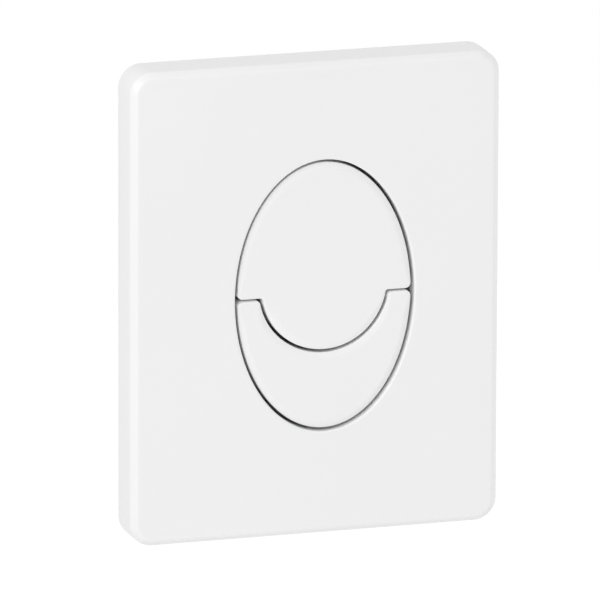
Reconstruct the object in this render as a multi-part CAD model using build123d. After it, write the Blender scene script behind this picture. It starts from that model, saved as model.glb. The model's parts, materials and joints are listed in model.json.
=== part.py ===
from build123d import *
import os
from math import atan2, degrees, sqrt

# Dual flush button plate for a concealed cistern, in millimetres.
# X runs to the right as seen from the room, Y runs into the wall and Z runs up.
# The origin is the middle of the plate on the wall plane, so the front face is at negative Y.

# Cover plate: a moulded shell with drafted side walls
PLATE_WIDTH = 156.0
PLATE_HEIGHT = 197.0
PLATE_DEPTH = 18.0
PLATE_DRAFT = 1.0
PLATE_CORNER = 9.5
PLATE_BEVEL_WIDTH = 2.4
PLATE_BEVEL_DEPTH = 2.6
SKIN = 2.5
SIDE_WALL = 2.2
RIB_THICK = 1.6
RIB_HEIGHT = 3.5
END_RIB_INSET = 20.0
NUT_TO_RIB = 3.0

# Oval opening in the cover plate, drawn with four arcs, and the collar behind it
OVAL_RIGHT = 3.8
OVAL_UP = 1.2
OVAL_HALF_WIDTH = 37.9
OVAL_HALF_HEIGHT = 56.5
OVAL_END_RADIUS = 28.8
OVAL_EDGE_BREAK = 0.4
COLLAR_DEPTH = 7.5
COLLAR_WALL = 1.8

# The two buttons that share the oval: depths are measured from their own front
BUTTON_RECESS = 0.9
BUTTON_DEPTH = 7.1
BUTTON_SKIN = 2.4
BUTTON_SKIRT = 1.8
BUTTON_EDGE_BREAK = 1.1
BUTTON_CORNER = 2.2
HORN_CORNER = 1.8
NECK_CORNER = 1.2
OVAL_GAP = 1.25
DIVIDER_GAP = 1.0
TONGUE_GAP = 1.3
TONGUE_RADIUS = 26.9
CRESCENT_WIDTH = 31.4
BUTTON_RIB_HEIGHT = 2.2
PAD_RADIUS = 5.0
PAD_PLAY = 0.2

# Stop tabs on the buttons, which rest on the collar through a rubber buffer
STOP_WIDTH = 8.0
STOP_THICK = 1.6
STOP_ROOT = 2.0
STOP_LAP = 0.9
STOP_RISE = 12.0
BUFFER_THICK = 0.8
BUFFER_MARGIN = 1.0
BUFFER_WIDTH = 1.6
BUFFER_PLAY = 0.3

# Hinges: pins held in the tray, button lugs turning on them
PIN_RADIUS = 1.5
PIN_PLAY = 0.05
PIN_GRIP = 0.02
PIN_END = 0.5
PIN_HOLD = 5.0
LUG_RADIUS = 3.4
LUG_WIDTH = 4.0
LUG_PLAY = 0.4
FULL_LUG_OUT = 11.0
FULL_HINGE_DROP = 9.25
FULL_HINGE_DEPTH = 10.1
HALF_HINGE_DROP = 4.5
HALF_HINGE_DEPTH = 11.6

# Button tray: depths are measured from the plate's front face
TRAY_DEPTH = 18.5
TRAY_FLOOR = 2.5
TRAY_WALL = 1.8
TRAY_GAP = 3.1
TRAY_RIB_HEIGHT = 3.0
TRAY_RIB_GAP = 3.0
FLANGE_DEPTH = 10.0
FLANGE_THICK = 2.5
FLANGE_SIDE = 4.1
FLANGE_END = 1.5
FLANGE_CORNER = 9.0

# Screws from the tray's flange into the cover plate's bosses
SCREW_INSET = 7.0
SCREW_RADIUS = 1.4
SCREW_LENGTH = 8.0
SCREW_HEAD_RADIUS = 3.0
SCREW_HEAD_HEIGHT = 1.9
SCREW_PLAY = 0.05
SCREW_PASSAGE = 0.5
SCREW_TIP_ROOM = 0.6
BOSS_WALL = 2.1

# Air pumps: cups in the tray floor, each with a rubber bellows that springs back by itself
FULL_PUMP_UP = 4.0
CUP_RADIUS = 13.2
CUP_WALL = 1.4
CUP_DEPTH = 9.0
CUP_FLOOR = 2.0
CUP_FLANGE = 2.3
CUP_FLANGE_THICK = 1.5
CUP_PLAY = 0.2
BAYONET_COUNT = 3
BAYONET_REACH = 1.2
BAYONET_WIDTH = 6.0
BAYONET_THICK = 1.8
BAYONET_TURN = 40.0
NIPPLE_RADIUS = 2.2
NIPPLE_LENGTH = 10.0
NIPPLE_BORE = 1.1
BELLOWS_STAND = 12.0
BELLOWS_RADIUS = 11.0
BELLOWS_FOLD = 2.8
BELLOWS_WALL = 1.0
BELLOWS_CAP = 1.6
BELLOWS_FOOT = 1.6
BELLOWS_ROOM = 1.0
FOOT_PLAY = 0.2

# Mounting frame against the wall, and the studs and nuts that hold it
FRAME_MARGIN = 5.8
FRAME_BASE = 3.0
FRAME_CORNER = 6.0
FRAME_RIM = 2.0
FRAME_RIM_HEIGHT = 9.0
WINDOW_SIDE_ROOM = 3.4
WINDOW_END_ROOM = 6.4
WINDOW_CORNER = 5.0
WINDOW_RIM_HEIGHT = 6.0
FRAME_RIB_PITCH = 28.0
STUD_RADIUS = 3.0
STUD_END_RADIUS = 2.0
STUD_LENGTH = 48.0
STUD_PROUD = 1.5
STUD_PASSAGE = 0.4
STUD_SLOT = 5.0
NUT_RADIUS = 6.5
NUT_THICK = 6.0
NUT_SIDES = 6
NUT_PLAY = 0.05
NUT_ROOM = 1.0

# Snap hooks of the cover plate in the frame's rim
HOOK_SPREAD = 80.0
HOOK_WIDTH = 10.0
HOOK_THICK = 1.8
HOOK_GAP = 0.6
HOOK_SIDE_PLAY = 1.0
BARB_REACH = 1.0
BARB_LENGTH = 1.8
BARB_PLAY = 0.4
CATCH_HEIGHT = 3.4
HOOK_TIP = 0.4

# How far cutting bodies reach past what they cut
THROUGH = 1.0

# Depths, from the room side towards the wall
FRONT_Y = -PLATE_DEPTH
SKIN_Y = FRONT_Y + SKIN
COLLAR_Y = FRONT_Y + COLLAR_DEPTH
BUTTON_Y = FRONT_Y + BUTTON_RECESS
BUTTON_SKIN_Y = BUTTON_Y + BUTTON_SKIN
SKIRT_Y = BUTTON_Y + BUTTON_DEPTH
BUFFER_Y = COLLAR_Y + BUFFER_PLAY
STOP_Y = BUFFER_Y + BUFFER_THICK
FLANGE_Y = FRONT_Y + FLANGE_DEPTH
TRAY_Y = FRONT_Y + TRAY_DEPTH
BELLOWS_Y = TRAY_Y - BELLOWS_STAND
CUP_SEAT_Y = TRAY_Y + CUP_DEPTH - CUP_FLOOR

# Centres and side radius that make the oval's four arcs tangent
OVAL_END_CENTRE = OVAL_HALF_HEIGHT - OVAL_END_RADIUS
OVAL_SIDE_RADIUS = (OVAL_HALF_WIDTH**2 + OVAL_HALF_HEIGHT**2 - 2 * OVAL_HALF_HEIGHT * OVAL_END_RADIUS) / (
    2 * (OVAL_HALF_WIDTH - OVAL_END_RADIUS)
)
OVAL_SIDE_CENTRE = OVAL_SIDE_RADIUS - OVAL_HALF_WIDTH

# Heights and half widths that several pieces share
BUTTON_HALF_WIDTH = OVAL_HALF_WIDTH - OVAL_GAP
BUTTON_HALF_HEIGHT = OVAL_HALF_HEIGHT - OVAL_GAP
TONGUE_Z = OVAL_UP - BUTTON_HALF_HEIGHT + CRESCENT_WIDTH + TONGUE_GAP / 2 + TONGUE_RADIUS
FULL_HINGE_Z = OVAL_UP + BUTTON_HALF_HEIGHT - FULL_HINGE_DROP
HALF_HINGE_Z = OVAL_UP - DIVIDER_GAP / 2 - HALF_HINGE_DROP
FULL_HINGE_Y = BUTTON_Y + FULL_HINGE_DEPTH
HALF_HINGE_Y = BUTTON_Y + HALF_HINGE_DEPTH
FULL_POST_OUT = FULL_LUG_OUT - LUG_WIDTH - LUG_PLAY
HALF_LUG_OUT = (TONGUE_RADIUS + TONGUE_GAP / 2 + BUTTON_HALF_WIDTH) / 2
FULL_PUMP_Z = OVAL_UP + FULL_PUMP_UP
HALF_PUMP_Z = OVAL_UP - BUTTON_HALF_HEIGHT + CRESCENT_WIDTH / 2
FRAME_HALF_WIDTH = PLATE_WIDTH / 2 - SIDE_WALL - FRAME_MARGIN
FRAME_HALF_HEIGHT = PLATE_HEIGHT / 2 - SIDE_WALL - FRAME_MARGIN
WINDOW_HALF_WIDTH = OVAL_RIGHT + OVAL_HALF_WIDTH + TRAY_GAP + TRAY_WALL + WINDOW_SIDE_ROOM
WINDOW_HALF_HEIGHT = OVAL_UP + OVAL_HALF_HEIGHT + TRAY_GAP + TRAY_WALL + WINDOW_END_ROOM
STUD_X = (FRAME_HALF_WIDTH + WINDOW_HALF_WIDTH) / 2
SIDES = (-1, 1)


def slab(outline, y_front, y_back):
    """An outline in the plate's plane, made solid between two depths."""
    return extrude(Plane.XZ.offset(-y_back) * outline, amount=y_back - y_front)


def rod(x, z, radius, y_front, y_back):
    """A round bar along Y."""
    return slab(Pos(x, z) * Circle(radius), y_front, y_back)


def cross_bar(y, z, radius, x_from, x_to):
    """A round bar along X."""
    return extrude(Plane.YZ.offset(x_from) * Pos(y, z) * Circle(radius), amount=x_to - x_from)


def block(x_span, y_span, z_span):
    """A box between two values on each axis."""
    spans = (x_span, y_span, z_span)
    low = [min(span) for span in spans]
    size = [max(span) - min(span) for span in spans]
    return Pos(*low) * Box(*size, align=(Align.MIN, Align.MIN, Align.MIN))


def oval(inset):
    """The opening's oval, drawn with four tangent arcs, moved inwards by inset."""
    join = degrees(atan2(OVAL_END_CENTRE, OVAL_SIDE_CENTRE))
    side = OVAL_SIDE_RADIUS - inset
    end = OVAL_END_RADIUS - inset
    arcs = [
        CenterArc((-OVAL_SIDE_CENTRE, 0), side, -join, 2 * join),
        CenterArc((0, OVAL_END_CENTRE), end, join, 180 - 2 * join),
        CenterArc((OVAL_SIDE_CENTRE, 0), side, 180 - join, 2 * join),
        CenterArc((0, -OVAL_END_CENTRE), end, 180 + join, 180 - 2 * join),
    ]
    return Pos(OVAL_RIGHT, OVAL_UP) * make_face(arcs)


def oval_half_width(height, inset):
    """Half width of that oval at a height above its centre, on its side arcs."""
    return sqrt((OVAL_SIDE_RADIUS - inset) ** 2 - height**2) - OVAL_SIDE_CENTRE


def tongue(radius):
    """The circle of the full flush button's tongue."""
    return Pos(OVAL_RIGHT, TONGUE_Z) * Circle(radius)


def full_outline(inset):
    """Upper part of the oval with the tongue, inset from the button's edge."""
    upper_half = Pos(OVAL_RIGHT, OVAL_UP + DIVIDER_GAP / 2 + inset) * Rectangle(
        PLATE_WIDTH, PLATE_HEIGHT, align=(Align.CENTER, Align.MIN)
    )
    return (oval(OVAL_GAP + inset) & upper_half) + tongue(TONGUE_RADIUS - TONGUE_GAP / 2 - inset)


def half_outline(inset):
    """Lower crescent of the oval, inset from the button's edge."""
    lower_half = Pos(OVAL_RIGHT, OVAL_UP - DIVIDER_GAP / 2 - inset) * Rectangle(
        PLATE_WIDTH, PLATE_HEIGHT, align=(Align.CENTER, Align.MAX)
    )
    return (oval(OVAL_GAP + inset) & lower_half) - tongue(TONGUE_RADIUS + TONGUE_GAP / 2 + inset)


def lug(x_from, x_to, y, z, y_root):
    """A hinge lug: a round end about the pin, carried back straight to its root."""
    side = Pos(y, z) * Circle(LUG_RADIUS)
    side += Pos((y + y_root) / 2, z) * Rectangle(abs(y - y_root), 2 * LUG_RADIUS)
    return extrude(Plane.YZ.offset(x_from) * side, amount=x_to - x_from)


def screw_places():
    """Where the four screws hold the tray to the cover plate."""
    out = OVAL_HALF_WIDTH + FLANGE_SIDE - SCREW_INSET
    up = OVAL_HALF_HEIGHT + FLANGE_END - SCREW_INSET
    return [(OVAL_RIGHT + i * out, OVAL_UP + k * up) for i in SIDES for k in SIDES]


def cover_ribs():
    """Straight ribs on the back of the skin, at the sides, the ends and out from the collar."""
    rib_x = STUD_X - NUT_RADIUS - NUT_TO_RIB
    rib_z = PLATE_HEIGHT / 2 - END_RIB_INSET
    upright = Rectangle(RIB_THICK, PLATE_HEIGHT)
    level = Rectangle(PLATE_WIDTH, RIB_THICK)
    lines = Pos(OVAL_RIGHT, 0) * upright + Pos(0, OVAL_UP) * level
    for side in SIDES:
        lines += Pos(side * rib_x, 0) * upright
        lines += Pos(0, side * rib_z) * level
    return slab(lines - oval(0), SKIN_Y, SKIN_Y + RIB_HEIGHT)


def snap_hooks():
    """Four hooks whose barbs sit in the catches of the mounting frame's rim."""
    arm_z = FRAME_HALF_HEIGHT + HOOK_GAP
    barb_front = -(FRAME_BASE + CATCH_HEIGHT - BARB_PLAY)
    barb_back = barb_front + BARB_LENGTH
    barb_z = FRAME_HALF_HEIGHT - BARB_REACH
    outline = make_face(
        Polyline(
            (SKIN_Y, arm_z),
            (barb_front, arm_z),
            (barb_front, barb_z),
            (barb_back, arm_z),
            (barb_back + HOOK_TIP, arm_z),
            (barb_back + HOOK_TIP, arm_z + HOOK_THICK),
            (SKIN_Y, arm_z + HOOK_THICK),
            close=True,
        )
    )
    hook = extrude(Plane.YZ.offset(-HOOK_WIDTH / 2) * outline, amount=HOOK_WIDTH)
    hooks = []
    for side in SIDES:
        placed = Pos(side * HOOK_SPREAD / 2, 0, 0) * hook
        hooks += [placed, mirror(placed, Plane.XY)]
    return hooks


def cover_plate():
    """White shell with the oval opening, its collar, ribs, screw bosses and snap hooks."""
    rim = Plane.XZ * RectangleRounded(PLATE_WIDTH, PLATE_HEIGHT, PLATE_CORNER)
    shell = extrude(rim, amount=PLATE_DEPTH, taper=PLATE_DRAFT)
    front = shell.faces().sort_by(Axis.Y)[0]
    shell = chamfer(front.edges(), PLATE_BEVEL_WIDTH, PLATE_BEVEL_DEPTH, reference=front)
    inner_rim = Plane.XZ * RectangleRounded(
        PLATE_WIDTH - 2 * SIDE_WALL, PLATE_HEIGHT - 2 * SIDE_WALL, PLATE_CORNER - SIDE_WALL
    )
    hollow = extrude(inner_rim, amount=PLATE_DEPTH - SKIN, taper=PLATE_DRAFT)
    shell -= hollow
    shell += cover_ribs() & hollow
    shell += slab(oval(-COLLAR_WALL), SKIN_Y, COLLAR_Y)
    hole_end = FLANGE_Y + FLANGE_THICK - SCREW_LENGTH - SCREW_TIP_ROOM
    for x, z in screw_places():
        shell += rod(x, z, SCREW_RADIUS + SCREW_PLAY + BOSS_WALL, SKIN_Y, FLANGE_Y)
        shell -= rod(x, z, SCREW_RADIUS + SCREW_PLAY, hole_end, FLANGE_Y)
    for hook in snap_hooks():
        shell += hook
    shell -= slab(oval(0), FRONT_Y - THROUGH, COLLAR_Y + THROUGH)
    mouth = shell.faces().sort_by(Axis.Y)[0].inner_wires()[0]
    return chamfer(mouth.edges(), OVAL_EDGE_BREAK)


def button_shell(outline, outer_corner, inner_corner):
    """A button's cap and skirt, with its upright corners rounded and its front edge bevelled."""
    cap = slab(outline(0), BUTTON_Y, SKIRT_Y)
    for corners, radius in ((slice(2), inner_corner), (slice(-2, None), outer_corner)):
        uprights = cap.edges().filter_by(Axis.Y)
        at_divider = [edge for edge in uprights if abs(edge.center().Z - OVAL_UP) < DIVIDER_GAP]
        at_divider.sort(key=lambda edge: abs(edge.center().X - OVAL_RIGHT))
        cap = fillet(at_divider[corners], radius)
    cap = chamfer(cap.edges().group_by(Axis.Y)[0], BUTTON_EDGE_BREAK)
    return cap - slab(outline(BUTTON_SKIRT), BUTTON_SKIN_Y, SKIRT_Y + THROUGH)


def button_ribs(lines, outline, pump_z):
    """Ribs behind a button's skin, kept away from its bellows."""
    room = Pos(OVAL_RIGHT, pump_z) * Circle(BELLOWS_RADIUS + BELLOWS_ROOM)
    return slab((lines & outline(BUTTON_SKIRT)) - room, BUTTON_SKIN_Y, BUTTON_SKIN_Y + BUTTON_RIB_HEIGHT)


def press_pad(pump_z):
    """The round pad on a button's back that squeezes its bellows."""
    return rod(OVAL_RIGHT, pump_z, PAD_RADIUS, BUTTON_SKIN_Y, BELLOWS_Y - PAD_PLAY)


def side_stop(side):
    """Spans in X and Z of a stop tab beside the full flush button: its inner, edge and outer X."""
    edge = oval_half_width(STOP_RISE, OVAL_GAP)
    outer = oval_half_width(STOP_RISE, 0) + STOP_LAP
    inner = edge - BUTTON_SKIRT - STOP_THICK
    middle_z = OVAL_UP + STOP_RISE
    z_span = (middle_z - STOP_WIDTH / 2, middle_z + STOP_WIDTH / 2)
    return [OVAL_RIGHT + side * x for x in (inner, edge, outer)], z_span


def full_flush_button():
    """Upper button with its tongue, hinge lugs near the top and a stop tab on each side."""
    button = button_shell(full_outline, BUTTON_CORNER, NECK_CORNER)
    lines = Pos(OVAL_RIGHT, FULL_PUMP_Z) * Rectangle(PLATE_WIDTH, RIB_THICK)
    for side in SIDES:
        lines += Pos(OVAL_RIGHT + side * FULL_LUG_OUT, 0) * Rectangle(RIB_THICK, PLATE_HEIGHT)
    button += button_ribs(lines, full_outline, FULL_PUMP_Z)
    button += press_pad(FULL_PUMP_Z)
    bore_reach = FULL_LUG_OUT + LUG_WIDTH
    for side in SIDES:
        x = OVAL_RIGHT + side * FULL_LUG_OUT
        button += lug(x - LUG_WIDTH / 2, x + LUG_WIDTH / 2, FULL_HINGE_Y, FULL_HINGE_Z, BUTTON_SKIN_Y)
        (inner, edge, outer), z_span = side_stop(side)
        leg = block((inner, edge), (SKIRT_Y - STOP_ROOT, STOP_Y + STOP_THICK), z_span)
        button += leg & slab(full_outline(0), BUTTON_SKIN_Y, STOP_Y + STOP_THICK)
        button += block((inner, outer), (STOP_Y, STOP_Y + STOP_THICK), z_span)
    return button - cross_bar(
        FULL_HINGE_Y, FULL_HINGE_Z, PIN_RADIUS + PIN_PLAY, OVAL_RIGHT - bore_reach, OVAL_RIGHT + bore_reach
    )


def full_flush_buffer(side):
    """Rubber pad on a side stop tab, behind the collar."""
    (_, _, outer), (z_low, z_high) = side_stop(side)
    z_span = (z_low + BUFFER_MARGIN, z_high - BUFFER_MARGIN)
    return block((outer - side * BUFFER_WIDTH, outer), (BUFFER_Y, STOP_Y), z_span)


def bottom_stop():
    """Span in X, and inner, edge and outer Z, of the stop tab below the half flush button."""
    edge = BUTTON_HALF_HEIGHT
    outer = OVAL_HALF_HEIGHT + STOP_LAP
    inner = edge - BUTTON_SKIRT - STOP_THICK
    x_span = (OVAL_RIGHT - STOP_WIDTH / 2, OVAL_RIGHT + STOP_WIDTH / 2)
    return x_span, [OVAL_UP - z for z in (inner, edge, outer)]


def half_flush_button():
    """Lower crescent button, hinged behind its two horns, with a stop tab at the bottom."""
    button = button_shell(half_outline, BUTTON_CORNER, HORN_CORNER)
    lines = Pos(OVAL_RIGHT, HALF_PUMP_Z) * Rectangle(PLATE_WIDTH, RIB_THICK)
    lines += Pos(OVAL_RIGHT, 0) * Rectangle(RIB_THICK, PLATE_HEIGHT)
    button += button_ribs(lines, half_outline, HALF_PUMP_Z)
    button += press_pad(HALF_PUMP_Z)
    for side in SIDES:
        x = OVAL_RIGHT + side * HALF_LUG_OUT
        x_from, x_to = x - LUG_WIDTH / 2, x + LUG_WIDTH / 2
        button += lug(x_from, x_to, HALF_HINGE_Y, HALF_HINGE_Z, BUTTON_SKIN_Y)
        button -= cross_bar(
            HALF_HINGE_Y, HALF_HINGE_Z, PIN_RADIUS + PIN_PLAY, x_from - THROUGH, x_to + THROUGH
        )
    x_span, (inner, edge, outer) = bottom_stop()
    leg = block(x_span, (SKIRT_Y - STOP_ROOT, STOP_Y + STOP_THICK), (inner, edge))
    button += leg & slab(half_outline(0), BUTTON_SKIN_Y, STOP_Y + STOP_THICK)
    return button + block(x_span, (STOP_Y, STOP_Y + STOP_THICK), (inner, outer))


def half_flush_buffer():
    """Rubber pad on the bottom stop tab, behind the collar."""
    (x_low, x_high), (_, _, outer) = bottom_stop()
    x_span = (x_low + BUFFER_MARGIN, x_high - BUFFER_MARGIN)
    return block(x_span, (BUFFER_Y, STOP_Y), (outer, outer + BUFFER_WIDTH))


def half_pin_span(side):
    """Inner end, post face and outer end in X of a half flush hinge pin."""
    post_face = HALF_LUG_OUT + LUG_WIDTH / 2 + LUG_PLAY
    inner_end = HALF_LUG_OUT - LUG_WIDTH / 2 - PIN_END
    return [OVAL_RIGHT + side * x for x in (inner_end, post_face, post_face + PIN_HOLD)]


def full_flush_hinge_pin():
    """Steel pin through the tray's two posts and the full flush button's lugs."""
    reach = FULL_LUG_OUT + LUG_WIDTH / 2 + PIN_END
    return cross_bar(FULL_HINGE_Y, FULL_HINGE_Z, PIN_RADIUS, OVAL_RIGHT - reach, OVAL_RIGHT + reach)


def half_flush_hinge_pin(side):
    """Short steel pin in a side post, through a horn's lug."""
    inner_end, _, outer_end = half_pin_span(side)
    return cross_bar(HALF_HINGE_Y, HALF_HINGE_Z, PIN_RADIUS, inner_end, outer_end)


def pump_opening(z):
    """Round hole in the tray floor for a pump cup, with notches that let its bayonet lugs in."""
    hole = Circle(CUP_RADIUS + CUP_PLAY)
    notch = Rectangle(
        CUP_RADIUS + BAYONET_REACH + CUP_PLAY,
        BAYONET_WIDTH + 2 * CUP_PLAY,
        align=(Align.MIN, Align.CENTER),
    )
    for k in range(BAYONET_COUNT):
        hole += Rot(0, 0, BAYONET_TURN + k * 360 / BAYONET_COUNT) * notch
    return slab(Pos(OVAL_RIGHT, z) * hole, TRAY_Y - THROUGH, TRAY_Y + TRAY_FLOOR + THROUGH)


def tray_ribs():
    """Ribs behind the tray floor, beside and between the pump cups."""
    clear = CUP_RADIUS + BAYONET_REACH + TRAY_RIB_GAP
    lines = Pos(OVAL_RIGHT, FULL_PUMP_Z + clear) * Rectangle(PLATE_WIDTH, RIB_THICK)
    lines += Pos(OVAL_RIGHT, (FULL_PUMP_Z + HALF_PUMP_Z) / 2) * Rectangle(PLATE_WIDTH, RIB_THICK)
    for side in SIDES:
        lines += Pos(OVAL_RIGHT + side * clear, 0) * Rectangle(RIB_THICK, PLATE_HEIGHT)
    floor_back = TRAY_Y + TRAY_FLOOR
    return slab(lines & oval(-TRAY_GAP - TRAY_WALL), floor_back, floor_back + TRAY_RIB_HEIGHT)


def button_tray():
    """Tray behind the oval: floor, wall, screw flange, hinge posts and openings for the pumps."""
    outer = oval(-TRAY_GAP - TRAY_WALL)
    inner = oval(-TRAY_GAP)
    tray = slab(outer, TRAY_Y, TRAY_Y + TRAY_FLOOR)
    tray += slab(outer - inner, FLANGE_Y, TRAY_Y)
    flange = Pos(OVAL_RIGHT, OVAL_UP) * RectangleRounded(
        2 * (OVAL_HALF_WIDTH + FLANGE_SIDE), 2 * (OVAL_HALF_HEIGHT + FLANGE_END), FLANGE_CORNER
    )
    tray += slab(flange - inner, FLANGE_Y, FLANGE_Y + FLANGE_THICK)
    for x, z in screw_places():
        tray -= rod(x, z, SCREW_RADIUS + SCREW_PASSAGE, FLANGE_Y - THROUGH, FLANGE_Y + FLANGE_THICK + THROUGH)
    bore = PIN_RADIUS + PIN_GRIP
    middle_of_wall = OVAL_HALF_WIDTH + TRAY_GAP + TRAY_WALL / 2
    for side in SIDES:
        x = OVAL_RIGHT + side * FULL_POST_OUT
        tray += lug(x - LUG_WIDTH / 2, x + LUG_WIDTH / 2, FULL_HINGE_Y, FULL_HINGE_Z, TRAY_Y)
        _, post_face, pin_end = half_pin_span(side)
        post_root = OVAL_RIGHT + side * middle_of_wall
        tray += lug(post_face, post_root, HALF_HINGE_Y, HALF_HINGE_Z, TRAY_Y)
        tray -= cross_bar(HALF_HINGE_Y, HALF_HINGE_Z, bore, post_face, pin_end)
    tray -= cross_bar(
        FULL_HINGE_Y, FULL_HINGE_Z, bore, OVAL_RIGHT - FULL_LUG_OUT, OVAL_RIGHT + FULL_LUG_OUT
    )
    tray += tray_ribs()
    for z in (FULL_PUMP_Z, HALF_PUMP_Z):
        tray -= pump_opening(z)
    return tray


def turned(points, x, z):
    """A body turned about an axis along Y at x and z, from its (radius, y) profile."""
    profile = make_face(Polyline(*points, close=True))
    return Pos(x, 0, z) * revolve(profile, Axis.Y)


def pump_cup(z):
    """Cup with a flange in front of the tray floor, bayonet lugs behind it and a hose nipple."""
    inner = CUP_RADIUS - CUP_WALL
    flange = CUP_RADIUS + CUP_FLANGE
    mouth_y = TRAY_Y - CUP_FLANGE_THICK
    back_y = TRAY_Y + CUP_DEPTH
    end_y = back_y + NIPPLE_LENGTH
    points = [
        (NIPPLE_BORE, CUP_SEAT_Y),
        (inner, CUP_SEAT_Y),
        (inner, mouth_y),
        (flange, mouth_y),
        (flange, TRAY_Y),
        (CUP_RADIUS, TRAY_Y),
        (CUP_RADIUS, back_y),
        (NIPPLE_RADIUS, back_y),
        (NIPPLE_RADIUS, end_y),
        (NIPPLE_BORE, end_y),
    ]
    cup = turned(points, OVAL_RIGHT, z)
    lug_y = TRAY_Y + TRAY_FLOOR + CUP_PLAY
    reach = CUP_WALL + BAYONET_REACH
    for k in range(BAYONET_COUNT):
        key = Rot(0, 0, k * 360 / BAYONET_COUNT) * Pos(inner, 0) * Rectangle(
            reach, BAYONET_WIDTH, align=(Align.MIN, Align.CENTER)
        )
        cup += slab(Pos(OVAL_RIGHT, z) * (key - Circle(inner)), lug_y, lug_y + BAYONET_THICK)
    return cup


def bellows(z):
    """Rubber bellows of even wall: a foot on the cup's floor, a neck, one fold and a closed cap."""
    foot_y = CUP_SEAT_Y - BELLOWS_FOOT
    foot_radius = CUP_RADIUS - CUP_WALL - FOOT_PLAY
    neck = BELLOWS_RADIUS - BELLOWS_FOLD
    fold_y = (foot_y + BELLOWS_Y) / 2
    points = [
        (neck - BELLOWS_WALL, CUP_SEAT_Y),
        (foot_radius, CUP_SEAT_Y),
        (foot_radius, foot_y),
        (neck, foot_y),
        (neck, fold_y),
        (BELLOWS_RADIUS, fold_y),
        (BELLOWS_RADIUS, BELLOWS_Y),
        (0, BELLOWS_Y),
        (0, BELLOWS_Y + BELLOWS_CAP),
        (BELLOWS_RADIUS - BELLOWS_WALL, BELLOWS_Y + BELLOWS_CAP),
        (BELLOWS_RADIUS - BELLOWS_WALL, fold_y - BELLOWS_WALL),
        (neck - BELLOWS_WALL, fold_y - BELLOWS_WALL),
    ]
    return turned(points, OVAL_RIGHT, z)


def tray_screw(x, z):
    """A screw from behind the flange."""
    seat_y = FLANGE_Y + FLANGE_THICK
    shank = rod(x, z, SCREW_RADIUS, seat_y - SCREW_LENGTH, seat_y)
    return shank + rod(x, z, SCREW_HEAD_RADIUS, seat_y, seat_y + SCREW_HEAD_HEIGHT)


def mounting_frame():
    """Frame against the wall: base, two rims, hook catches, end ribs, stud slots and room for the nuts."""
    outer = RectangleRounded(2 * FRAME_HALF_WIDTH, 2 * FRAME_HALF_HEIGHT, FRAME_CORNER)
    inner = RectangleRounded(
        2 * (FRAME_HALF_WIDTH - FRAME_RIM), 2 * (FRAME_HALF_HEIGHT - FRAME_RIM), FRAME_CORNER - FRAME_RIM
    )
    window = RectangleRounded(2 * WINDOW_HALF_WIDTH, 2 * WINDOW_HALF_HEIGHT, WINDOW_CORNER)
    window_rim = RectangleRounded(
        2 * (WINDOW_HALF_WIDTH + FRAME_RIM), 2 * (WINDOW_HALF_HEIGHT + FRAME_RIM), WINDOW_CORNER + FRAME_RIM
    )
    frame = slab(outer - window, -FRAME_BASE, 0)
    frame += slab(outer - inner, -FRAME_RIM_HEIGHT, -FRAME_BASE)
    frame += slab(window_rim - window, -WINDOW_RIM_HEIGHT, -FRAME_BASE)
    for k in (-1, 0, 1):
        rib = Pos(k * FRAME_RIB_PITCH, 0) * Rectangle(RIB_THICK, PLATE_HEIGHT)
        frame += slab((rib & inner) - window_rim, -WINDOW_RIM_HEIGHT, -FRAME_BASE)
    passage = 2 * (STUD_RADIUS + STUD_PASSAGE)
    catch = Rectangle(HOOK_WIDTH + 2 * HOOK_SIDE_PLAY, PLATE_HEIGHT) - Rectangle(
        PLATE_WIDTH, 2 * (FRAME_HALF_HEIGHT - FRAME_RIM)
    )
    for side in SIDES:
        slot = Pos(side * STUD_X, 0) * SlotOverall(STUD_SLOT + passage, passage)
        frame -= slab(slot, -FRAME_BASE - THROUGH, THROUGH)
        frame -= rod(side * STUD_X, 0, NUT_RADIUS + NUT_ROOM, -FRAME_RIM_HEIGHT - THROUGH, -FRAME_BASE)
        frame -= slab(Pos(side * HOOK_SPREAD / 2, 0) * catch, -FRAME_BASE - CATCH_HEIGHT, -FRAME_BASE)
    return frame


def fixing_stud(side):
    """Stud for the wall box, with a shoulder level with the wall and a thinner end in front for the nut."""
    front_y = -FRAME_BASE - NUT_THICK - STUD_PROUD
    thin_end = rod(side * STUD_X, 0, STUD_END_RADIUS, front_y, 0)
    return thin_end + rod(side * STUD_X, 0, STUD_RADIUS, 0, STUD_LENGTH)


def stud_nut(side):
    """Hexagon nut on the front of the frame's base."""
    outline = RegularPolygon(NUT_RADIUS, NUT_SIDES) - Circle(STUD_END_RADIUS + NUT_PLAY)
    return slab(Pos(side * STUD_X, 0) * outline, -FRAME_BASE - NUT_THICK, -FRAME_BASE)


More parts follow.
